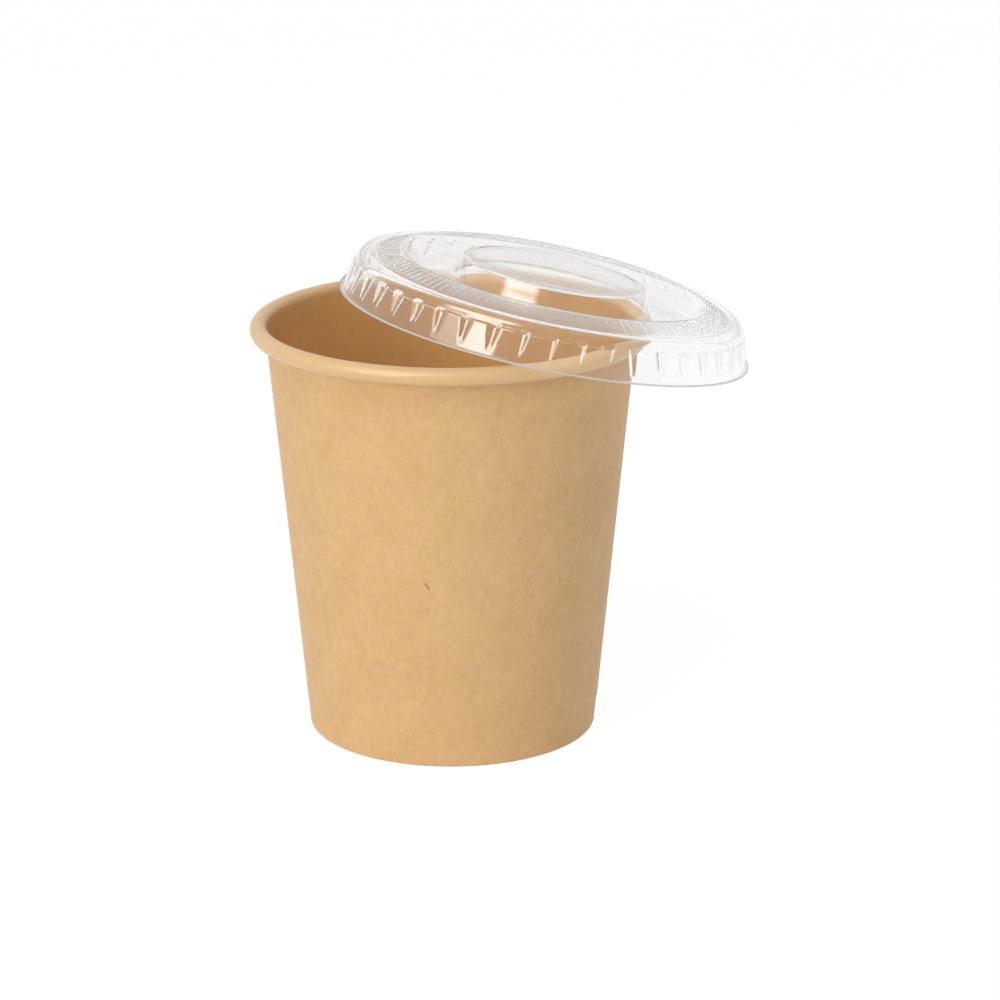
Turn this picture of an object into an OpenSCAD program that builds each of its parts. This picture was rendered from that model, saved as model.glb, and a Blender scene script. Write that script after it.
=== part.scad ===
// Kraft paper portion cup with a clear thermoformed lid resting askew on its rim.
// Millimetres, +Z up. The origin is the centre of the base, on the plane it stands on.
// The lid leans toward +X and the glued side seam of the cup faces +X below it.

/* [Cup] */
// Outside diameter of the rolled rim
rim_d = 62; // [54:0.5:80]
// Outside diameter at the standing edge
base_d = 45; // [38:0.5:50]
// Height from the standing edge to the top of the roll
cup_h = 65.4; // [45:0.2:100]
// Outside diameter of the rolled rim's section
roll_d = 2.7; // [2.3:0.1:3.2]
// Turn of the curled edge, short of touching the wall again
roll_turn = 300; // [270:5:310]

/* [Board] */
// Thickness of the coated paperboard
board_t = 0.35; // [0.25:0.05:0.45]
// Width of the glued overlap of the side seam
seam_w = 6; // [4:0.5:10]
// Gap left for the sealing film between two layers of board
film_gap = 0.03; // [0.02:0.01:0.08]
// Height of the underside of the bottom disc above the standing edge
base_recess = 5.6; // [4.8:0.1:8]
// Gap between the turned-up hem and the bottom disc
hem_gap = 0.8; // [0.4:0.1:1.2]
// Outside radius of the bend between the bottom disc and its flange
disc_bend = 0.9; // [0.7:0.1:1.6]
// Outside radius of the two bends of the folded standing edge
fold_bend = 0.4; // [0.36:0.02:0.46]

/* [Lid] */
// Thickness of the clear sheet
sheet_t = 0.33; // [0.25:0.01:0.4]
// Clearance between the rolled rim and the mouth of the lid
mouth_gap = 0.45; // [0.2:0.05:0.8]
// Width of the flat lip round the mouth
lip_w = 0.5; // [0.4:0.05:0.8]
// Inward taper of the skirt, in degrees
skirt_taper = 13; // [8:0.5:15]
// Height of the shoulder above the lip's underside
shoulder_h = 6.9; // [6:0.1:8]
// Outside radius of the shoulder
shoulder_bend = 0.9; // [0.6:0.1:1.2]
// Width of the shoulder, from the skirt to the stacking band
shoulder_w = 2.4; // [2:0.1:3]
// Width of the sloping stacking band
band_w = 3.7; // [3:0.1:4.5]
// Height of the band's outer edge above the lip's underside
band_low = 6.5; // [6:0.1:6.8]
// Height of the band's inner edge above the lip's underside
band_high = 8.05; // [7.6:0.05:8.6]
// Width of the slope from the band down to the valley
slope_w = 2.9; // [2:0.1:3.5]
// Height of the valley floor above the lip's underside
valley_h = 5.5; // [5:0.1:5.9]
// Diameter of the raised middle at its top
middle_d = 28.6; // [22:0.2:32]
// Outward lean of the raised middle's wall, from its top to its foot
middle_lean = 1; // [0.6:0.1:1.6]
// Height of the raised middle above the lip's underside
middle_h = 8.8; // [8:0.1:10]
// Rise of the raised middle from its edge to its flat centre
middle_dome = 0.12; // [0:0.02:0.4]
// Number of snap lugs pressed into the skirt
lug_count = 44; // [30:1:52]
// Depth of a lug at its upper end, which is half its width there
lug_depth = 0.7; // [0.5:0.05:0.8]
// Length of a lug along the skirt
lug_l = 3.4; // [2.5:0.1:4]
// Distance from the shoulder's corner down to the lugs
lug_drop = 1.5; // [1.3:0.1:2]

/* [Resting lid] */
// Sideways distance from the cup's axis to the lid's axis
lid_shift = 14.7; // [10:0.1:18]
// Gap left where the lid touches the rim
rest_gap = 0.05; // [0.02:0.01:0.2]

/* [Hidden] */
$fn = 96;
BOARD_COLOUR = [0.79, 0.63, 0.43];
DISC_COLOUR = [0.72, 0.56, 0.37];
LID_COLOUR = [0.88, 0.90, 0.91, 0.45];
// Largest turn between two points of a rounded corner, in degrees
ARC_STEP = 22.5;
// Bends of the lid other than the shoulder
LID_BEND = 0.5;

// Vectors in a section, with x as the radius and y as the height
function xy(corner) = [corner[0], corner[1]];
function unit(v) = v / norm(v);
function left_of(v) = [-v[1], v[0]];
function polar(r, a) = r * [cos(a), sin(a)];
function heading(v) = atan2(v[1], v[0]);
function wrapped(a) = a > 180 ? a - 360 : a < -180 ? a + 360 : a;

// Points along an arc, its first and last included
function arc(centre, r, start, sweep) =
    let (steps = ceil(abs(sweep) / ARC_STEP))
    [for (k = [0:steps]) centre + polar(r, start + sweep * k / steps)];

// The arc that rounds corner i of a list of [x, y, radius]
function bend(c, i) =
    let (
        p = xy(c[i]),
        back = unit(xy(c[i - 1]) - p),
        ahead = unit(xy(c[i + 1]) - p),
        half = acos(back * ahead) / 2,
        centre = p + unit(back + ahead) * c[i][2] / sin(half),
        reach = c[i][2] / tan(half),
        start = heading(p + back * reach - centre),
        stop = heading(p + ahead * reach - centre)
    )
    arc(centre, c[i][2], start, wrapped(stop - start));

function rounded(c) = [
    xy(c[0]),
    for (i = [1:len(c) - 2]) each bend(c, i),
    xy(c[len(c) - 1])
];

// Sideways step at point i that keeps a sheet's thickness round a corner
function mitre(p, i) =
    let (
        before = left_of(unit(p[max(i, 1)] - p[max(i, 1) - 1])),
        after = left_of(unit(p[min(i, len(p) - 2) + 1] - p[min(i, len(p) - 2)]))
    )
    (before + after) / (1 + before * after);

// Closed section of a bent sheet that reaches left and right of its path
function sheet(path, left, right) = concat(
    [for (i = [0:len(path) - 1]) path[i] + left * mitre(path, i)],
    [for (i = [len(path) - 1:-1:0]) path[i] - right * mitre(path, i)]
);

// Cup wall, as the middle of its board: a line from the fold that meets the roll's arc
rim_r = rim_d / 2;
base_r = base_d / 2;
roll_r = roll_d / 2;
roll_centre = [rim_r - roll_r, cup_h - roll_r];
roll_mid_r = roll_r - board_t / 2;
fold_corner = [base_r - board_t / 2, board_t / 2];
fold_to_roll = roll_centre - fold_corner;
flare = 90 - heading(fold_to_roll) - asin(roll_mid_r / norm(fold_to_roll));
layer = (board_t + film_gap) / cos(flare);

function wall_mid(z) = fold_corner[0] + (z - fold_corner[1]) * tan(flare);

// Bottom disc, its flange and the hem that holds it
disc_mid = base_recess + board_t / 2;
hem_top = base_recess - hem_gap;
flange_low = board_t + 2 * film_gap;

module sidewall_section() {
    fold_mid_bend = fold_bend - board_t / 2;
    hem_path = rounded([
        [wall_mid(hem_top) - 2 * layer, hem_top],
        [wall_mid(fold_corner[1]) - 2 * layer, fold_corner[1], fold_mid_bend],
        [fold_corner[0], fold_corner[1], fold_mid_bend],
        roll_centre + polar(roll_mid_r, 180 - flare)
    ]);
    roll_path = arc(roll_centre, roll_mid_r, 180 - flare, -roll_turn);
    path = concat(hem_path, [for (i = [1:len(roll_path) - 1]) roll_path[i]]);
    polygon(sheet(path, board_t / 2, board_t / 2));
}

// The outer layer of the overlap, from the fold to the underside of the roll
module seam_section() {
    low = board_t + fold_bend;
    high = cup_h - roll_d - board_t;
    outer = 1.5 * board_t / cos(flare);
    polygon([
        [wall_mid(low), low],
        [wall_mid(low) + outer, low],
        [wall_mid(high) + outer, high],
        [wall_mid(high), high]
    ]);
}

module sidewall() {
    seam_angle = seam_w / wall_mid(cup_h / 2) * 180 / PI;
    color(BOARD_COLOUR) {
        rotate_extrude() sidewall_section();
        rotate([0, 0, -seam_angle / 2]) rotate_extrude(angle = seam_angle) seam_section();
    }
}

module bottom_disc() {
    path = rounded([
        [wall_mid(flange_low) - layer, flange_low],
        [wall_mid(disc_mid) - layer, disc_mid, disc_bend - board_t / 2],
        [0, disc_mid]
    ]);
    color(DISC_COLOUR) rotate_extrude() polygon(sheet(path, board_t / 2, board_t / 2));
}

// Lid, upright, with the underside of its lip at height 0. The radii are those of its outer face.
mouth_r = rim_r + mouth_gap;
skirt_r = mouth_r + sheet_t;
lip_r = skirt_r + lip_w;
shoulder_r = skirt_r - (shoulder_h - sheet_t) * tan(skirt_taper);
band_r = shoulder_r - shoulder_w;
band_in_r = band_r - band_w;
valley_r = band_in_r - slope_w;
middle_r = middle_d / 2;
foot_r = middle_r + middle_lean;

// Point on the skirt's outer face just above the lugs, where its two sections meet
joint_h = shoulder_h - (lug_drop - 0.2) * cos(skirt_taper);
skirt_joint = [shoulder_r + (shoulder_h - joint_h) * tan(skirt_taper), joint_h];

module skirt_section() {
    path = rounded([
        [lip_r, sheet_t],
        [skirt_r, sheet_t, LID_BEND / 4],
        skirt_joint
    ]);
    polygon(sheet(path, sheet_t, 0));
}

module top_section() {
    path = rounded([
        skirt_joint,
        [shoulder_r, shoulder_h, shoulder_bend],
        [band_r, band_low, LID_BEND],
        [band_in_r, band_high, LID_BEND],
        [valley_r, valley_h, LID_BEND],
        [foot_r, valley_h, LID_BEND],
        [middle_r, middle_h, LID_BEND],
        [middle_r / 2, middle_h + middle_dome, middle_r / 2],
        [0, middle_h + middle_dome]
    ]);
    polygon(sheet(path, sheet_t, 0));
}

// A V-shaped lug pressed into the skirt, with its tip down, grown by a thickness. Its local
// Z runs down the skirt's outer face, and its edge starts at full depth and rises to that face.
module lug(grown) {
    sink = atan(lug_depth / lug_l);
    edge = grown * sqrt(2);
    side = 2 * lug_depth + grown;
    translate([shoulder_r, 0, shoulder_h])
        rotate([0, 180 - skirt_taper, 0])
            translate([lug_depth + edge, 0, lug_drop])
                rotate([0, -sink, 0])
                    rotate([0, 0, -45])
                        translate([-side, -side, -grown])
                            cube([side, side, lug_l + grown + edge / tan(sink)]);
}

module lugs(grown) {
    for (i = [0:lug_count - 1]) rotate([0, 0, (i + 0.5) * 360 / lug_count]) lug(grown);
}

// Everything inside the middle of the skirt's sheet, where a lug may bulge
module skirt_inside() {
    half = sheet_t / 2 / cos(skirt_taper);
    translate([0, 0, sheet_t])
        cylinder(h = shoulder_h - sheet_t, r1 = skirt_r - half, r2 = shoulder_r - half);
}

module skirt() {
    difference() {
        union() {
            rotate_extrude() skirt_section();
            intersection() {
                skirt_inside();
                lugs(sheet_t);
            }
        }
        lugs(0);
    }
}

module lid_shape() {
    rotate_extrude() top_section();
    skirt();
}

// Rest of the lid: the valley floor lies on the roll on the +X side, and the lip
// lies across the roll on both sides. The height follows from the tilt, and the tilt is
// the smallest at which the lip clears the roll.
valley_under = valley_h - sheet_t;

function lid_z(tilt) = roll_centre[1]
    + ((roll_centre[0] - lid_shift) * sin(tilt) + roll_r + rest_gap - valley_under) / cos(tilt);

// A point of the tilted lip, and its height over the roll below it
function lip_point(tilt, r, a) = [
    lid_shift + r * cos(a) * cos(tilt),
    r * sin(a),
    lid_z(tilt) - r * cos(a) * sin(tilt)
];
function off_roll(p) = norm(xy(p)) - roll_centre[0];
function over_roll(p) = p[2] - roll_centre[1] - sqrt(pow(roll_r + rest_gap, 2) - pow(off_roll(p), 2));
function lip_lift(tilt) = min([
    for (r = [mouth_r, lip_r], a = [60:0.5:160])
        let (p = lip_point(tilt, r, a))
        if (abs(off_roll(p)) < roll_r + rest_gap) over_roll(p)
]);
function settled(low, high, rounds) =
    let (mid = (low + high) / 2)
    rounds == 0 ? high
    : lip_lift(mid) > 0 ? settled(low, mid, rounds - 1)
    : settled(mid, high, rounds - 1);

lid_tilt = settled(2, 30, 16);

module lid() {
    color(LID_COLOUR)
        translate([lid_shift, 0, lid_z(lid_tilt)]) rotate([0, lid_tilt, 0]) lid_shape();
}

sidewall();
bottom_disc();
lid();
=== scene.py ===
# %% [markdown]
# # A kraft portion cup with its clear lid resting askew
# The object is a small cup of brown kraft board with a rolled rim, and a thin clear lid that
# has been set down on it out of place, so that it leans on the rim and hangs over one side.
# The CAD frame gives every size and place. This script gives the cup its board, with its
# glued seam, its fibres and its coated inside, and the lid its ribs, lugs and clear gloss.
# Everything is in metres, and the cells run from the frame to the pieces, and then to light.

# %% Load the frame
import math

import bpy
import numpy as np
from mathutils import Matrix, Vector


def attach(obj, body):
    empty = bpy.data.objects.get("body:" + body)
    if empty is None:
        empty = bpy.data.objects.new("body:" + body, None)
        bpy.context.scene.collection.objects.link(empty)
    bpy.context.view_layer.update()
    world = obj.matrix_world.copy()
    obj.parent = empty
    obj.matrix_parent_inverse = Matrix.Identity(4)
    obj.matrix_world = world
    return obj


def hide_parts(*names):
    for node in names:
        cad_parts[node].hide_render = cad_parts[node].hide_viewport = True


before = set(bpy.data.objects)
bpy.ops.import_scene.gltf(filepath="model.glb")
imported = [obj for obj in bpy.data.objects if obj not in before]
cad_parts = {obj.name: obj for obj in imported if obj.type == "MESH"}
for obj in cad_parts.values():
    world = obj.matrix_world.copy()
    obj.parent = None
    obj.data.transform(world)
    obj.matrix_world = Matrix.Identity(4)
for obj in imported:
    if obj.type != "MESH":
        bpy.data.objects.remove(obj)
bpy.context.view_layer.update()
print("CAD nodes:", sorted(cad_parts))

# %% [markdown]
# ## The camera
# The photograph is taken a little from above with a long lens, which keeps the cup's sides
# almost straight. Place, direction and lens come from fitting the rim, the base and the lid's
# outline to the picture. A camera could also be aimed by a constraint, but a plain location
# and a direction turned into a rotation leave nothing to follow or to break later.

# %% Set the camera
lens = bpy.data.cameras.new("long_lens")
lens.sensor_width = 36
lens.lens = 132.5
camera = bpy.data.objects.new("camera", lens)
bpy.context.collection.objects.link(camera)
camera.location = (-0.1052, -0.5399, 0.2068)
looking = Vector((0.1955, 0.9348, -0.2966))
camera.rotation_euler = looking.to_track_quat("-Z", "Y").to_euler()
lens.clip_start, lens.clip_end = 0.01, 20
bpy.context.scene.camera = camera
print("camera is", round(camera.location.length, 3), "m from the base, lens", lens.lens, "mm")

# %% [markdown]
# ## Bending a sheet
# Both materials are sheets: board 0.35 mm thick and clear plastic 0.33 mm thick. Each is
# drawn as one line in section, with rounded corners, and then given its thickness to the
# left and right of that line. A curve object with a bevel could do this too, but rows of
# numbers let each row be pushed in or out later, where the sheet overlaps or is pressed.

# %% Draw a line with rounded corners
MM = 0.001


def unit(v):
    return v / np.linalg.norm(v)


def bend(before, corner, after, radius, turn):
    """Points of the arc that rounds a corner, one for each turn in degrees."""
    back, ahead = unit(before - corner), unit(after - corner)
    half = math.acos(float(np.clip(back @ ahead, -1, 1))) / 2
    centre = corner + unit(back + ahead) * radius / math.sin(half)
    reach = radius / math.tan(half)
    first, last = (corner + v * reach - centre for v in (back, ahead))
    start = math.atan2(first[1], first[0])
    sweep = (math.atan2(last[1], last[0]) - start + math.pi) % (2 * math.pi) - math.pi
    steps = max(2, math.ceil(abs(sweep) / math.radians(turn)))
    angles = start + sweep * np.arange(steps + 1) / steps
    return centre + radius * np.stack([np.cos(angles), np.sin(angles)], 1)


def rounded(corners, turn=12):
    """A line through corners, of which the inner ones are (x, y, radius)."""
    points = [np.array(corners[0][:2], float)]
    for before, here, after in zip(corners, corners[1:], corners[2:]):
        if len(here) == 3:
            points.extend(bend(*(np.array(c[:2], float) for c in (before, here, after)), here[2], turn))
        else:
            points.append(np.array(here, float))
    points.append(np.array(corners[-1][:2], float))
    return np.array(points)


def spaced(path, step):
    """The same line with more points, so that no stretch is longer than step."""
    points = [path[0]]
    for a, b in zip(path, path[1:]):
        count = max(1, math.ceil(np.linalg.norm(b - a) / step))
        points.extend(a + (b - a) * k / count for k in range(1, count + 1))
    return np.array(points)


def outward(path):
    """The direction to the right of the line at each point, longer in sharp corners."""
    runs = np.diff(path, axis=0)
    right = np.stack([runs[:, 1], -runs[:, 0]], 1) / np.linalg.norm(runs, axis=1)[:, None]
    before, after = np.vstack([right[:1], right]), np.vstack([right, right[-1:]])
    return (before + after) / (1 + (before * after).sum(1))[:, None]


def along(path):
    """Distance travelled along the line at each point."""
    return np.concatenate([[0], np.cumsum(np.linalg.norm(np.diff(path, axis=0), axis=1))])


# %% [markdown]
# ## From a line to a mesh
# A wound sheet is a grid: one way runs along the section, the other round the axis. The grid
# is closed both ways, like a tyre, so it is a solid skin with no hole. Blender's Screw
# modifier would turn a section too, but it can't place more columns where detail is needed.
# Each corner of each face also gets its place on the flat sheet, in metres, as a UV map.

# %% Build a grid that closes both ways
def make_piece(name, points, faces, flat, slots):
    """A mesh with one UV corner for each face corner, its faces pointing outward."""
    corners = points[np.array([f[:3] for f in faces])]
    volume = np.einsum("ij,ij->i", corners[:, 0], np.cross(corners[:, 1], corners[:, 2])).sum()
    if volume < 0:
        faces, flat = [f[::-1] for f in faces], [f[::-1] for f in flat]
    mesh = bpy.data.meshes.new(name)
    mesh.from_pydata(points.tolist(), [], faces)
    layer = mesh.uv_layers.new(name="flat_sheet")
    layer.data.foreach_set("uv", np.array([c for f in flat for c in f], np.float32).ravel())
    mesh.polygons.foreach_set("material_index", slots)
    mesh.shade_smooth()
    piece = bpy.data.objects.new(name, mesh)
    bpy.context.collection.objects.link(piece)
    print(f"{name}: {len(points)} points, {sum(len(f) - 2 for f in faces)} triangles")
    return piece


def wound_grid(name, points, lengths, widths, row_slots):
    """points is rows by columns by 3. lengths and widths place them on the flat sheet."""
    rows, columns = points.shape[:2]
    faces, flat, slots = [], [], []
    for i in range(rows):
        below, v0, v1 = (i + 1) % rows, lengths[i], lengths[i + 1]
        for j in range(columns):
            beside, u0, u1 = (j + 1) % columns, widths[j], widths[j + 1]
            faces.append([i * columns + j, i * columns + beside, below * columns + beside, below * columns + j])
            flat.append([(u0, v0), (u1, v0), (u1, v1), (u0, v1)])
            slots.append(row_slots[i])
    return make_piece(name, points.reshape(-1, 3), faces, flat, slots)


# %% [markdown]
# ## The paper wall
# The wall is one blank of coated board. Its lower end is folded up inside as a hem that
# grips the bottom disc, and its upper end is curled outward into the rim. The numbers are
# those of the CAD source, in millimetres, so the piece lies exactly where the solid does.
# The line is the middle of the board: up the hem, round the fold, up the wall, over the roll.
# On the flat sheet, turns are laid out at a radius of 27 mm, and the two faces 200 mm apart.

# %% Draw the wall's section
BOARD = 0.35
FILM = 0.03
RIM_R, BASE_R, CUP_H = 31.0, 22.5, 65.4
ROLL_R = 1.35
RECESS, HEM_TOP = 5.6, 4.8
WIND_R, DISC_WIND_R, FACE_APART = 27, 20, 200

roll_centre = np.array([RIM_R - ROLL_R, CUP_H - ROLL_R])
roll_mid = ROLL_R - BOARD / 2
fold = np.array([BASE_R - BOARD / 2, BOARD / 2])
to_roll = roll_centre - fold
flare = math.pi / 2 - math.atan2(to_roll[1], to_roll[0]) - math.asin(roll_mid / np.linalg.norm(to_roll))
layer = (BOARD + FILM) / math.cos(flare)


def wall_mid(z):
    return fold[0] + (z - fold[1]) * math.tan(flare)


meets_roll = roll_centre + roll_mid * np.array([math.cos(math.pi - flare), math.sin(math.pi - flare)])
wall_line = rounded([
    (wall_mid(HEM_TOP) - 2 * layer, HEM_TOP),
    (wall_mid(fold[1]) - 2 * layer, fold[1], 0.225),
    (fold[0], fold[1], 0.225),
    tuple(meets_roll),
])
curl = math.pi - flare - np.radians(np.arange(10, 301, 10))
roll_line = roll_centre + roll_mid * np.stack([np.cos(curl), np.sin(curl)], 1)
wall_line = spaced(np.vstack([wall_line, roll_line]), 1.3)
wall_out = outward(wall_line)
wall_run = along(wall_line)
print(f"flare {math.degrees(flare):.2f} degrees, blank {wall_run[-1]:.1f} mm from hem to curl")

# %% [markdown]
# ## The glued side seam
# The blank's two ends overlap by 6 mm and are sealed. Outside, the upper layer ends in a cut
# edge, and on its other side it slopes back down to a single layer. Inside, the lower layer
# ends in a cut edge of its own. Both faces of the board are therefore pushed outward by one
# thickness over part of the turn. At the fold and in the roll the board is pressed, so the
# step fades there. Extra columns stand close on both sides of each cut edge to keep it crisp.

# %% Place the columns and the overlap
SEAM_HALF = 3.0 / wall_mid(CUP_H / 2)
SHARP = 0.05 / wall_mid(CUP_H / 2)
SLOPE = 1.6 / wall_mid(CUP_H / 2)
seam_columns = np.concatenate([
    [-SEAM_HALF + SHARP],
    np.linspace(-SEAM_HALF, SEAM_HALF, 9)[1:-1],
    [SEAM_HALF - SHARP, SEAM_HALF + SHARP],
    SEAM_HALF + SLOPE * np.linspace(0, 1, 7)[1:],
])
plain_columns = np.linspace(SEAM_HALF + SLOPE, 2 * math.pi - SEAM_HALF - SHARP, 362)[1:]
turns = np.concatenate([seam_columns, plain_columns])
down_slope = 0.5 + 0.5 * np.cos(np.pi * np.clip((turns - SEAM_HALF) / SLOPE, 0, 1))
outer_lift = np.where(turns < 2 * math.pi - SEAM_HALF - SHARP / 2, down_slope, 0)
inner_lift = np.where(turns > SEAM_HALF, outer_lift, 0)
pressed = np.interp(wall_run, [0, 3.6, 4.6, 6.4, 8, wall_run[-1] - 8, wall_run[-1] - 6.5, wall_run[-1]],
                    [0.5, 0.5, 0, 0, 1, 1, 0.45, 0.3])
print(f"{len(turns)} columns, seam {math.degrees(2 * SEAM_HALF):.1f} degrees wide")

# %% Wind the board into the cup wall
across = BOARD / 2 + BOARD * outer_lift[None, :] * pressed[:, None]
within = BOARD / 2 - BOARD * inner_lift[None, :] * pressed[:, None]


def on_wall(line, push):
    """Section points pushed by a distance for each row and column, as rows by columns by 3."""
    radius = line[:, 0, None] + push * wall_out[:, 0, None]
    height = line[:, 1, None] + push * wall_out[:, 1, None]
    return MM * np.stack([radius * np.cos(turns), radius * np.sin(turns), height], 2)


outer_face, inner_face = on_wall(wall_line, across), on_wall(wall_line, -within)
wall_points = np.concatenate([outer_face, inner_face[::-1]])
rows = len(wall_line)
wall_lengths = MM * np.concatenate([wall_run, wall_run[::-1] + FACE_APART, [0]])
wall_widths = MM * WIND_R * np.append(turns, turns[0] + 2 * math.pi)
KRAFT, LINED, CUT = 0, 1, 2
wall_slots = [KRAFT] * (rows - 1) + [CUT] + [LINED] * (rows - 1) + [CUT]
cup_wall = wound_grid("cup_wall", wall_points, wall_lengths, wall_widths, wall_slots)
cup_wall.data.set_sharp_from_angle(angle=math.radians(40))

# %% [markdown]
# ## The bottom disc
# A round piece of the same board, with its edge turned down as a flange between the wall and
# the hem. It stands 5.6 mm above the table. It is one more bent line turned round the axis,
# and its middle is closed by a very small ring, which can't be seen at this size.

# %% Draw and turn the bottom disc
disc_mid = RECESS + BOARD / 2
disc_line = spaced(rounded([
    (wall_mid(0.41) - layer, 0.41),
    (wall_mid(disc_mid) - layer, disc_mid, 0.725),
    (0.02, disc_mid),
]), 1.2)
disc_out = outward(disc_line)
disc_run = along(disc_line)
disc_turns = np.linspace(0, 2 * math.pi, 193)[:-1]
disc_points = []
for side in (0.5, -0.5):
    ring = disc_line + side * BOARD * disc_out
    ring = ring if side > 0 else ring[::-1]
    disc_points.append(MM * np.stack([
        ring[:, 0, None] * np.cos(disc_turns),
        ring[:, 0, None] * np.sin(disc_turns),
        np.repeat(ring[:, 1, None], len(disc_turns), 1),
    ], 2))
disc_rows = len(disc_line)
bottom = wound_grid(
    "cup_bottom", np.concatenate(disc_points),
    MM * np.concatenate([disc_run, disc_run[::-1] + FACE_APART, [0]]),
    MM * DISC_WIND_R * np.append(disc_turns, 2 * math.pi),
    [LINED] * (disc_rows - 1) + [CUT] + [KRAFT] * (disc_rows - 1) + [CUT],
)
bottom.data.set_sharp_from_angle(angle=math.radians(40))

# %% [markdown]
# ## The lid's section
# The lid is formed from one clear sheet. From outside in, it has a narrow lip, a tapering
# skirt with a small ledge, a rounded shoulder, a sloping band for stacking, a valley and a
# raised middle, whose top has a low bead round it and sags a little like a dish. The line is
# its outer face, and the sheet's thickness lies inside it. A rounded corner that is too big
# for the stretch beside it folds the line back on itself, so the cell measures that.

# %% Draw the lid's section
SHEET = 0.33
SKIRT_TAPER = math.radians(13)
MOUTH_R = RIM_R + 0.45
SKIRT_R = MOUTH_R + SHEET
LIP_R = SKIRT_R + 0.5
SHOULDER_H, BAND_LOW, BAND_HIGH, VALLEY_H, MIDDLE_H = 6.9, 6.5, 8.05, 5.5, 8.8
SHOULDER_R = SKIRT_R - (SHOULDER_H - SHEET) * math.tan(SKIRT_TAPER)
BAND_R = SHOULDER_R - 2.4
BAND_IN_R = BAND_R - 3.7
VALLEY_R = BAND_IN_R - 2.9
MIDDLE_R = 14.3
LEDGE_LOW, LEDGE_HIGH, LEDGE_STEP = 4.62, 4.98, 0.16
BEAD_R, DISH_R, DISH = 13.55, 13.05, 0.85


def skirt_r(z):
    return SKIRT_R - (z - SHEET) * math.tan(SKIRT_TAPER)


lid_turns = rounded([
    (LIP_R, SHEET),
    (SKIRT_R, SHEET, 0.125),
    (skirt_r(LEDGE_LOW) + 0.04, LEDGE_LOW, 0.25),
    (skirt_r(LEDGE_HIGH) - LEDGE_STEP, LEDGE_HIGH, 0.25),
    (SHOULDER_R, SHOULDER_H, 1.65),
    (BAND_R, BAND_LOW, 1.2),
    (BAND_IN_R, BAND_HIGH, 0.5),
    (VALLEY_R, VALLEY_H, 0.5),
    (MIDDLE_R + 1, VALLEY_H, 0.5),
    (MIDDLE_R, MIDDLE_H, 0.4),
    (BEAD_R, MIDDLE_H - 0.01, 0.15),
    (DISH_R, MIDDLE_H - 0.26, 0.15),
    *[(r, MIDDLE_H - 0.26 - DISH * (1 - (r / DISH_R) ** 2)) for r in np.linspace(DISH_R - 0.8, 0, 12)],
], 18)
to_band = int(np.argmax(lid_turns[:, 0] < BAND_R - 0.2))
past_band = int(np.argmax(lid_turns[:, 0] < BAND_IN_R - 0.4))
lid_line = np.vstack([spaced(lid_turns[:to_band + 1], 0.5), spaced(lid_turns[to_band:past_band + 1], 0.95)[1:],
                      spaced(lid_turns[past_band:], 1.4)[1:]])
lid_runs = np.diff(lid_line, axis=0)
turning_back = (lid_runs[:-1] * lid_runs[1:]).sum(1).min() < 0
print("the section turns back on itself:", bool(turning_back))
lid_out = outward(lid_line)
print(f"lid section: {len(lid_line)} points, shoulder at {SHOULDER_R:.2f} mm")

# %% [markdown]
# ## Ribs and lugs
# The band carries fine radial ribs, and the skirt has 44 V-shaped lugs pressed inward under
# the shoulder, which snap over the rolled rim. Both are pushes of the same sheet, so both of
# its faces move together. Booleans would leave long thin triangles, which show in a clear
# material. The columns stand close together at each lug and further apart between them, and
# there are three ribs to a lug, so that one set of columns serves both.

# %% Push the sheet in at the lugs and up and down on the ribs
LUGS, LUG_DEPTH, LUG_HALF, LUG_LENGTH, LUG_DROP = 44, 0.62, 1.0, 3.3, 2.1
RIBS, RIB_HEIGHT = 3 * LUGS, 0.06
pitch = 2 * math.pi / LUGS
half_offsets = np.array([0.14, 0.29, 0.44, 0.6, 0.77, 0.97, 1.2, 1.5, 1.85])
lug_offsets = np.concatenate([-half_offsets[::-1], [0], half_offsets, [31 * pitch / 2]]) / 31
outer_turns = np.concatenate([(k + 0.5) * pitch + lug_offsets for k in range(LUGS)])
smooth_turns = np.linspace(0, 2 * math.pi, 265)[:-1]


def soft_step(x):
    x = np.clip(x, 0, 1)
    return x * x * (3 - 2 * x)


def lug_push(point, angles, wider):
    """How far the sheet is pressed inward at one row, for each angle."""
    drop = (SHOULDER_H - point[1]) / math.cos(SKIRT_TAPER)
    down = np.clip((drop - LUG_DROP) / LUG_LENGTH, 0, 1)
    half_width = LUG_HALF * (1 - 0.68 * down)
    sideways = point[0] * ((angles / pitch) % 1 - 0.5) * pitch
    hollow = np.sqrt(np.clip(1 - (sideways / (half_width + wider)) ** 2, 0, 1) ** 2 + 0.002) - 0.0447
    ends = soft_step((drop - LUG_DROP + 0.25) / 0.5) * soft_step((LUG_DROP + LUG_LENGTH + wider - drop) / 0.45)
    return -(1 - wider) * LUG_DEPTH * half_width / LUG_HALF * hollow * ends


def rib_push(point, angles):
    """How far the ribs stand off the band at one row."""
    edge = min(BAND_R - point[0], point[0] - BAND_IN_R)
    return RIB_HEIGHT * (0.5 + 0.5 * np.cos(RIBS * angles)) ** 2 * soft_step((edge - 0.2) / 0.5)


lid_rows = []
for point, side in zip(lid_line, lid_out):
    if point[0] > BAND_R + 0.3:
        angles = outer_turns
        on_skirt = point[1] > SHEET + 0.3 and point[0] > SHOULDER_R - 0.2
        push = [lug_push(point, angles, wider) * on_skirt for wider in (0.08, 0.16)]
    elif point[0] > BAND_IN_R - 0.2:
        angles, push = outer_turns, [rib_push(point, outer_turns)] * 2
    else:
        angles, push = smooth_turns, [0 * smooth_turns] * 2
    lid_rows.append((angles, point, side, push))
print(f"deepest lug {-min(r[3][0].min() for r in lid_rows):.2f} mm, ribs every {2 * math.pi * 26 / RIBS:.2f} mm")

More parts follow.
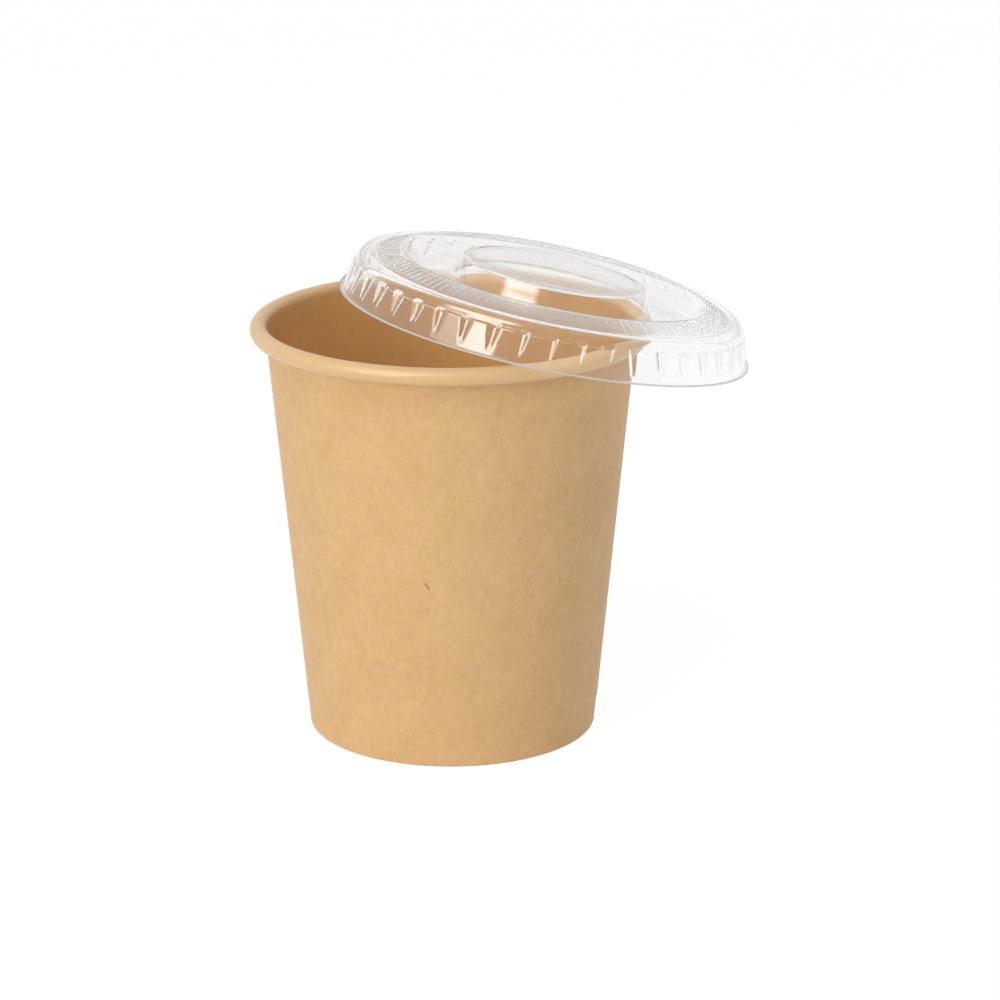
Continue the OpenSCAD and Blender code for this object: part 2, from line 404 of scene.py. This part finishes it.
# %% [markdown]
# ## Joining rings that have different columns
# Inside the ribbed band there is less to show, so one ring has 880 columns and the next 264.
# The strip between two such rings is filled by walking round both at once and always stepping
# to the nearer next point. Rings with the same columns simply get four-sided faces. The thin
# lid also flexes a little: its far side stands half a millimetre higher than a stiff one
# would. The lip is drawn down thinner than the rest, as it is the last part to be formed.

# %% Join the rings into the lid
TILT, LID_X, LID_Z = math.radians(11.7117), 14.7, 63.299
FLEX = 0.55
LIP_THINNING = 0.66


def strip(a, a_start, b, b_start):
    """Faces between two rings of angles, whose points are numbered from their starts."""
    if len(a) == len(b) and np.allclose(a, b):
        n = len(a)
        return [[a_start + k, a_start + (k + 1) % n, b_start + (k + 1) % n, b_start + k] for k in range(n)]
    faces, i, j = [], 0, 0
    a_next, b_next = np.append(a, a[0] + 2 * math.pi), np.append(b, b[0] + 2 * math.pi)
    while i < len(a) or j < len(b):
        here = [a_start + i % len(a), b_start + j % len(b)]
        if j == len(b) or (i < len(a) and a_next[i + 1] <= b_next[j + 1]):
            i += 1
            faces.append([here[0], a_start + i % len(a), here[1]])
        else:
            j += 1
            faces.append([here[0], b_start + j % len(b), here[1]])
    return faces


lid_points, lid_faces, previous, first = [], [], None, None
for inside in (False, True):
    order = lid_rows[:-1] if not inside else lid_rows[-2::-1]
    if inside:
        centre = len(lid_points)
        lid_points += [(0, 0, lid_line[-1][1]), (0, 0, lid_line[-1][1] - SHEET)]
    for number, (angles, point, side, push) in enumerate(order):
        sheet = SHEET * (LIP_THINNING if point[0] > SKIRT_R + 0.15 else 1)
        away = push[1] - sheet if inside else push[0]
        radius, height = point[0] + away * side[0], point[1] + away * side[1]
        start = len(lid_points)
        lid_points += np.stack([radius * np.cos(angles), radius * np.sin(angles), height], 1).tolist()
        if inside and number == 0:
            last_angles, last_start = previous
            n = len(angles)
            lid_faces += [[last_start + k, last_start + (k + 1) % n, centre] for k in range(n)]
            lid_faces += [[start + (k + 1) % n, start + k, centre + 1] for k in range(n)]
        elif previous:
            lid_faces += strip(previous[0], previous[1], angles, start)
        previous = (angles, start)
        first = first or previous
lid_faces += strip(previous[0], previous[1], first[0], first[1])

upright = np.array(lid_points)
leaning = MM * np.stack([
    LID_X + upright[:, 0] * math.cos(TILT) + upright[:, 2] * math.sin(TILT),
    upright[:, 1],
    LID_Z - upright[:, 0] * math.sin(TILT) + upright[:, 2] * math.cos(TILT)
    + FLEX * soft_step((upright[:, 1] + 6) / 38),
], 1)
flat_places = [[tuple(MM * upright[k, :2]) for k in f] for f in lid_faces]
lid = make_piece("clear_lid", leaning, lid_faces, flat_places, [0] * len(lid_faces))
lid.data.set_sharp_from_angle(angle=math.radians(62))

# %% [markdown]
# ## Kraft board
# Unbleached board is never one colour. It has cloudy patches a few millimetres wide, where
# the pulp settled, short fibres that lie mostly one way, and now and then a dark fleck. An
# image of board would do, but noise made by nodes has no edges and no repeats. The flat
# sheet's coordinates are used, so the fibres follow the blank and break at the seam.

# %% Small helpers for node trees
def new_material(name):
    material = bpy.data.materials.new(name)
    material.use_nodes = True
    tree = material.node_tree
    return material, tree, tree.nodes["Principled BSDF"]


def add_node(tree, kind, inputs=None, **settings):
    """A node of that kind with its settings, its inputs given as values or as sockets."""
    made = tree.nodes.new("ShaderNode" + kind)
    for key, value in settings.items():
        setattr(made, key, value)
    for key, value in (inputs or {}).items():
        if isinstance(value, bpy.types.NodeSocket):
            tree.links.new(value, made.inputs[key])
        else:
            made.inputs[key].default_value = value
    return made


def maths(tree, operation, a, b=None, clamp=False):
    inputs = {0: a} if b is None else {0: a, 1: b}
    return add_node(tree, "Math", inputs, operation=operation, use_clamp=clamp).outputs[0]


def noise(tree, place, stretch, scale, detail=3.0, roughness=0.5, seed=0.0):
    """Noise on the flat sheet, with place stretched by a factor each way."""
    mapped = add_node(tree, "Mapping", {"Vector": place, "Scale": (*stretch, 1.0), "Location": (seed, -seed, seed)})
    return add_node(tree, "TexNoise", {"Vector": mapped.outputs[0], "Scale": scale, "Detail": detail,
                                       "Roughness": roughness}).outputs["Fac"]


def ramp(tree, value, low, high, to_low=0.0, to_high=1.0):
    return add_node(tree, "MapRange", {"Value": value, "From Min": low, "From Max": high, "To Min": to_low,
                                       "To Max": to_high}).outputs[0]


def blended(tree, how, amount, a, b):
    """Two colours mixed, multiplied or added, by an amount from 0 to 1."""
    mix = add_node(tree, "Mix", data_type="RGBA", blend_type=how)
    for key, value in ((0, amount), (6, a), (7, b)):
        if isinstance(value, bpy.types.NodeSocket):
            tree.links.new(value, mix.inputs[key])
        else:
            mix.inputs[key].default_value = value
    return mix.outputs[2]


# %% Make the board's finish
def board_finish(name, light, dark, roughness, grain, depth=1.0):
    """Kraft board between two tones. grain is the depth of its texture in metres."""
    material, tree, shader = new_material(name)
    sheet = add_node(tree, "UVMap", uv_map="flat_sheet").outputs[0]
    clouds = noise(tree, sheet, (1.0, 0.7), 170, 4, 0.55, 1.3)
    fine_clouds = noise(tree, sheet, (1.0, 0.8), 620, 3, 0.6, 4.1)
    flocks = noise(tree, sheet, (1.0, 0.7), 1500, 2, 0.5, 2.6)
    fibres = noise(tree, sheet, (1.0, 0.16), 3600, 4, 0.65, 7.7)
    cross_fibres = noise(tree, sheet, (0.3, 1.0), 2600, 3, 0.6, 9.2)
    tone = maths(tree, "MULTIPLY", ramp(tree, clouds, 0.3, 0.7), 0.30 * depth)
    for texture, share in ((fine_clouds, 0.30 * depth), (flocks, 0.26 * depth), (fibres, 0.28), (cross_fibres, 0.14)):
        part = maths(tree, "MULTIPLY", ramp(tree, texture, 0.3, 0.7), share)
        tone = maths(tree, "ADD", tone, part, texture is cross_fibres)
    colour = blended(tree, "MIX", tone, (*dark, 1), (*light, 1))
    hue = ramp(tree, noise(tree, sheet, (1.0, 0.8), 900, 3, 0.6, 5.4), 0.35, 0.65)
    tinted = blended(tree, "MIX", hue, (1.0, 0.97, 1.06, 1), (1.0, 1.02, 0.93, 1))
    colour = blended(tree, "MULTIPLY", 1.0, colour, tinted)
    specks = add_node(tree, "TexVoronoi", {"Vector": sheet, "Scale": 330.0, "Randomness": 1.0})
    draw = add_node(tree, "SeparateColor", {0: specks.outputs["Color"]}).outputs[0]
    chosen = maths(tree, "GREATER_THAN", draw, 0.93)
    speck = maths(tree, "MULTIPLY", ramp(tree, specks.outputs["Distance"], 0.10, 0.02), chosen)
    colour = blended(tree, "MULTIPLY", maths(tree, "MULTIPLY", speck, 0.35), colour, (0.35, 0.27, 0.2, 1))
    tree.links.new(colour, shader.inputs["Base Color"])
    tree.links.new(ramp(tree, fibres, 0.3, 0.7, roughness - 0.05, roughness + 0.06), shader.inputs["Roughness"])
    height = maths(tree, "ADD", maths(tree, "MULTIPLY", fibres, 0.6), maths(tree, "MULTIPLY", fine_clouds, 0.5))
    bump = add_node(tree, "Bump", {"Height": height, "Distance": grain, "Strength": 1.0})
    tree.links.new(bump.outputs[0], shader.inputs["Normal"])
    shader.inputs["Specular IOR Level"].default_value = 0.4
    return material, tree, shader, sheet


def recolour(tree, shader, how, amount, colour):
    """Put one more layer of colour over what the shader has so far."""
    so_far = shader.inputs["Base Color"].links[0].from_socket
    tree.links.new(blended(tree, how, amount, so_far, colour), shader.inputs["Base Color"])


kraft_outside, tree, shader, sheet = board_finish(
    "kraft_board", (0.785, 0.508, 0.25), (0.628, 0.372, 0.156), 0.62, 0.00003)
shader.inputs["Sheen Weight"].default_value = 0.12
shader.inputs["Sheen Roughness"].default_value = 0.45

# %% [markdown]
# ## Dark flecks
# One dark sliver of bark, a millimetre and a half long, lies in the front of the wall, and two
# smaller and fainter ones higher up. Real board is full of such accidents. Each is a stretched
# and turned distance from its place on the flat sheet, with a ragged edge from noise.

# %% Put the flecks in the board
going_up = slice(int(np.argmin(wall_line[:rows // 4, 1])) + 1, rows - len(curl))


def on_sheet(degrees, height):
    """Where a place on the wall, by its turn and height in mm, lies on the flat sheet."""
    run = float(np.interp(height, wall_line[going_up, 1], wall_run[going_up]))
    return MM * WIND_R * math.radians(degrees), MM * run


def fleck(degrees, height, length, width, lean, amount):
    """A dark sliver of that length and width in mm, leaning by an angle."""
    u, v = on_sheet(degrees, height)
    local = add_node(tree, "Mapping", {
        "Vector": sheet, "Location": (u, v, 0), "Rotation": (0, 0, math.radians(lean)),
        "Scale": (MM * width / 2, MM * length / 2, 1)}, vector_type="TEXTURE").outputs[0]
    apart = add_node(tree, "VectorMath", {0: local}, operation="LENGTH").outputs["Value"]
    frayed = noise(tree, sheet, (1.0, 1.0), 4200, 2, 0.6, 3.0)
    ragged = maths(tree, "ADD", apart, ramp(tree, frayed, 0.3, 0.7, -0.3, 0.3))
    dark = maths(tree, "MULTIPLY", ramp(tree, ragged, 1.15, 0.55), amount)
    recolour(tree, shader, "MULTIPLY", dark, (0.30, 0.33, 0.36, 1))


fleck(250.4, 30.2, 1.5, 0.42, 38, 0.72)
fleck(282.2, 37.4, 0.5, 0.3, -20, 0.35)
fleck(258.6, 35.8, 0.35, 0.25, 0, 0.25)
print("the long fleck is at", [round(1000 * c, 1) for c in on_sheet(250.4, 30.2)], "mm on the sheet")

# %% [markdown]
# ## Coated inside and rolled rim
# The inside is coated, so it is a little glossy. Its colour is deeper than the outside's, partly
# from the coating and partly painted shade for the inside of the cup. The blank is curled
# outward, which brings this coated face round to the outside of the rim. There it is pressed
# hard and stretched, and is smoother than the rest. It is painted paler there, partly for the
# pressed board and partly as a painted sheen for the gloss on top of the rim. The flat sheet's
# second coordinate tells where the roll begins.

# %% Finish the inside, the rim and the cut edges
# Painted shade: the lined face is deeper and more orange than the outside, partly from its coating and partly for the
# shade inside the cup.
lined_inside, tree, shader, sheet = board_finish(
    "lined_board", (0.745, 0.437, 0.175), (0.62, 0.338, 0.118), 0.45, 0.000012, 0.7)
shader.inputs["Coat Weight"].default_value = 0.5
shader.inputs["Coat Roughness"].default_value = 0.28
along_blank = add_node(tree, "SeparateXYZ", {0: sheet}).outputs[1]
roll_start = MM * (FACE_APART + wall_run[-1] - math.radians(300) * roll_mid)
# Painted sheen: the roll is mixed towards a paler colour, partly for the pressed board and partly for the gloss on
# top of the rim.
rolled = ramp(tree, along_blank, roll_start - 0.0004, roll_start + 0.0010)
recolour(tree, shader, "MIX", maths(tree, "MULTIPLY", rolled, 0.46), (0.86, 0.61, 0.35, 1))
cut_edge = board_finish("cut_board", (0.70, 0.45, 0.24), (0.55, 0.33, 0.15), 0.85, 0.00004)[0]
for piece in (cup_wall, bottom):
    for material in (kraft_outside, lined_inside, cut_edge):
        piece.data.materials.append(material)
print("board finishes:", [m.name for m in cup_wall.data.materials])

# %% [markdown]
# ## Clear plastic
# The lid is a thin clear sheet. It could be made see-through by alpha, but only real glass
# with both of its faces bends light at the ribs, lugs and corners, where the real lid shows
# its bright and dark lines. Lamps pass straight through it, so that the cup under it is lit
# without noise, and a ray that has bounced about inside the sheet is let out, because it
# would otherwise end black. The surface is slightly wavy from forming. The band and the lip
# are a little duller than the rest. The lip's darker, pinkish-grey tint is painted shade, for
# the dim line along its edge.

# %% Make the clear sheet
clear_sheet, tree, shader = new_material("clear_sheet")
shader.inputs["IOR"].default_value = 1.57
place = add_node(tree, "TexCoord").outputs["Object"]
flat_place = add_node(tree, "UVMap", uv_map="flat_sheet").outputs[0]
from_axis = add_node(tree, "VectorMath", {0: flat_place}, operation="LENGTH").outputs["Value"]
on_band = maths(tree, "MULTIPLY", ramp(tree, from_axis, 0.0240, 0.0244), ramp(tree, from_axis, 0.0279, 0.0275))
on_lip = ramp(tree, from_axis, 0.03190, 0.03215)
tree.links.new(maths(tree, "ADD", ramp(tree, on_band, 0, 1, 0.04, 0.22), maths(tree, "MULTIPLY", on_lip, 0.34)),
               shader.inputs["Roughness"])
tree.links.new(ramp(tree, on_band, 0, 1, 1.0, 0.94), shader.inputs["Transmission Weight"])
tint = blended(tree, "MIX", ramp(tree, noise(tree, place, (1.0, 1.0), 60, 2, 0.5, 2.0), 0.3, 0.7),
               (0.952, 0.955, 0.957, 1), (0.968, 0.97, 0.972, 1))
tint = blended(tree, "MIX", on_band, tint, (0.92, 0.92, 0.925, 1))
# Painted shade: the lip's tint is darker and pinkish grey, for the dim line along its edge.
tint = blended(tree, "MIX", on_lip, tint, (0.72, 0.68, 0.66, 1))
tree.links.new(tint, shader.inputs["Base Color"])
waves = maths(tree, "ADD", maths(tree, "MULTIPLY", noise(tree, place, (1.0, 1.0), 240, 2, 0.5, 5.0), 1.0),
              maths(tree, "MULTIPLY", noise(tree, place, (1.0, 1.0), 900, 2, 0.5, 6.0), 0.05))
tree.links.new(add_node(tree, "Bump", {"Height": waves, "Distance": 0.00002, "Strength": 1.0}).outputs[0],
               shader.inputs["Normal"])
lets_light = add_node(tree, "BsdfTransparent", {"Color": (0.86, 0.87, 0.87, 1)})
light_path = add_node(tree, "LightPath")
trapped = maths(tree, "GREATER_THAN", light_path.outputs["Glossy Depth"], 2.5)
passes = maths(tree, "MAXIMUM", light_path.outputs["Is Shadow Ray"], trapped)
either = add_node(tree, "MixShader", {0: passes, 1: shader.outputs[0], 2: lets_light.outputs[0]})
tree.links.new(either.outputs[0], tree.nodes["Material Output"].inputs["Surface"])
lid.data.materials.append(clear_sheet)
print("clear sheet: IOR", shader.inputs["IOR"].default_value)

# %% [markdown]
# ## Fixing the pieces to the frame
# The object has no joint, so all three pieces ride on the one body. Each takes the place of
# its CAD node.

# %% Ride on the body and replace the nodes
for piece, node_name, slot_name in (
    (cup_wall, "sidewall", "kraft_board"),
    (bottom, "bottom_disc", "kraft_disc"),
    (lid, "lid", "clear_sheet"),
):
    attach(piece, "root")
    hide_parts(node_name)

# %% [markdown]
# ## Table and studio
# The photograph has a pure white ground. The floor is white and mostly shines by itself for
# the camera and for rays through the lid, and keeps a faint part of the cup's real shadow.
# The world is white behind the object, where the background is, and greyer on the side that
# the photographer stands on, because a clear lid between white walls alone would vanish.
# The windows that the lid mirrors are panes drawn in the world for glossy rays alone, while
# two soft lamps that no ray sees light the board. So each can be placed without the other.

# %% Lay the floor
floor_mesh = bpy.data.meshes.new("floor")
around = [(2.5 * math.cos(a), 2.5 * math.sin(a), -0.00002) for a in np.linspace(0, 2 * math.pi, 49)[:-1]]
floor_mesh.from_pydata(around, [], [list(range(48))])
floor = bpy.data.objects.new("floor", floor_mesh)
bpy.context.collection.objects.link(floor)
white_floor, tree, shader = new_material("white_floor")
shader.inputs["Base Color"].default_value = (0.93, 0.93, 0.93, 1)
shader.inputs["Roughness"].default_value = 0.9
seen = add_node(tree, "LightPath")
seen_straight = maths(tree, "MAXIMUM", seen.outputs["Is Camera Ray"],
                      maths(tree, "MAXIMUM", seen.outputs["Is Glossy Ray"], seen.outputs["Is Transmission Ray"]))
glow = add_node(tree, "Emission", {"Color": (1, 1, 1, 1), "Strength": 1.03})
both = add_node(tree, "MixShader", {0: maths(tree, "MULTIPLY", seen_straight, 0.92), 1: shader.outputs[0],
                                    2: glow.outputs[0]})
tree.links.new(both.outputs[0], tree.nodes["Material Output"].inputs["Surface"])
floor_mesh.materials.append(white_floor)

# %% Light the room
world = bpy.data.worlds.new("studio")
bpy.context.scene.world = world
world.use_nodes = True
tree = world.node_tree
backdrop = tree.nodes["Background"]
direction = add_node(tree, "TexCoord").outputs["Generated"]


def facing(tree, direction, towards):
    return add_node(tree, "VectorMath", {0: direction, 1: towards}, operation="DOT_PRODUCT").outputs["Value"]


def from_camera_side(azimuth, elevation):
    """A direction. Azimuth 0 is the camera's side and turns to its left."""
    a, e = math.radians(azimuth) + math.atan2(0.1052, 0.5399), math.radians(elevation)
    return Vector((-math.sin(a) * math.cos(e), -math.cos(a) * math.cos(e), math.sin(e)))


def pane(azimuth, elevation, half_width, half_height, soft):
    """1 where a ray looks into a window of those half angles in degrees, 0 elsewhere."""
    middle = from_camera_side(azimuth, elevation)
    sideways = Vector((0, 0, 1)).cross(middle).normalized()
    inside = maths(tree, "GREATER_THAN", facing(tree, direction, middle), 0.0)
    for axis, half in ((sideways, half_width), (middle.cross(sideways), half_height)):
        off = maths(tree, "ABSOLUTE", facing(tree, direction, axis))
        edge = math.sin(math.radians(half))
        inside = maths(tree, "MULTIPLY", inside, ramp(tree, off, edge + soft, edge - soft))
    return inside


room = ramp(tree, facing(tree, direction, (0.205, 0.979, 0.0)), -0.35, 0.35, 0.33, 0.60)
behind = ramp(tree, facing(tree, direction, (0.0, 0.0, 1.0)), 0.04, 0.20, 0.25, 1.0)
mirrored = ramp(tree, facing(tree, direction, (-0.40, 0.76, 0.5)), -0.5, 0.1, 0.42, behind)
seen = add_node(tree, "LightPath")
straight = maths(tree, "MAXIMUM", seen.outputs["Is Camera Ray"], seen.outputs["Is Transmission Ray"])
for window, brightness in ((pane(37.3, 16, 10.2, 11, 0.02), 7.4), (pane(57, 16, 9.5, 11, 0.05), 3.0),
                           (pane(39, 41, 20, 12, 0.08), 7.2)):
    mirrored = maths(tree, "MAXIMUM", mirrored, maths(tree, "MULTIPLY", window, brightness))
strength = maths(tree, "MAXIMUM", straight, maths(tree, "MAXIMUM", room, maths(
    tree, "MULTIPLY", mirrored, seen.outputs["Is Glossy Ray"])))
tree.links.new(strength, backdrop.inputs["Strength"])
backdrop.inputs["Color"].default_value = (1, 1, 1, 1)


def softbox(name, azimuth, elevation, distance, width, height, watts, aim=(0, 0, 0.04)):
    """A soft lamp. Azimuth 0 is the camera's side and turns to its left."""
    lamp = bpy.data.lights.new(name, "AREA")
    lamp.shape, lamp.size, lamp.size_y, lamp.energy = "RECTANGLE", width, height, watts
    light = bpy.data.objects.new(name, lamp)
    bpy.context.collection.objects.link(light)
    away = from_camera_side(azimuth, elevation)
    light.location = Vector(aim) + distance * away
    light.rotation_euler = (-away).to_track_quat("-Z", "Y").to_euler()
    light.visible_camera = light.visible_transmission = light.visible_glossy = False
    return light


high_softbox = softbox("high_softbox", 0, 58, 1.2, 0.8, 0.6, 4.2)
left_window = softbox("left_window", 42, 16, 1.2, 0.44, 0.6, 5.2)
print("softboxes at", [[round(c, 2) for c in light.location] for light in (high_softbox, left_window)])

# %% [markdown]
# ## Colour
# The Standard view shows a colour as it is written.

# %% Set the view
bpy.context.scene.view_settings.view_transform = "Standard"
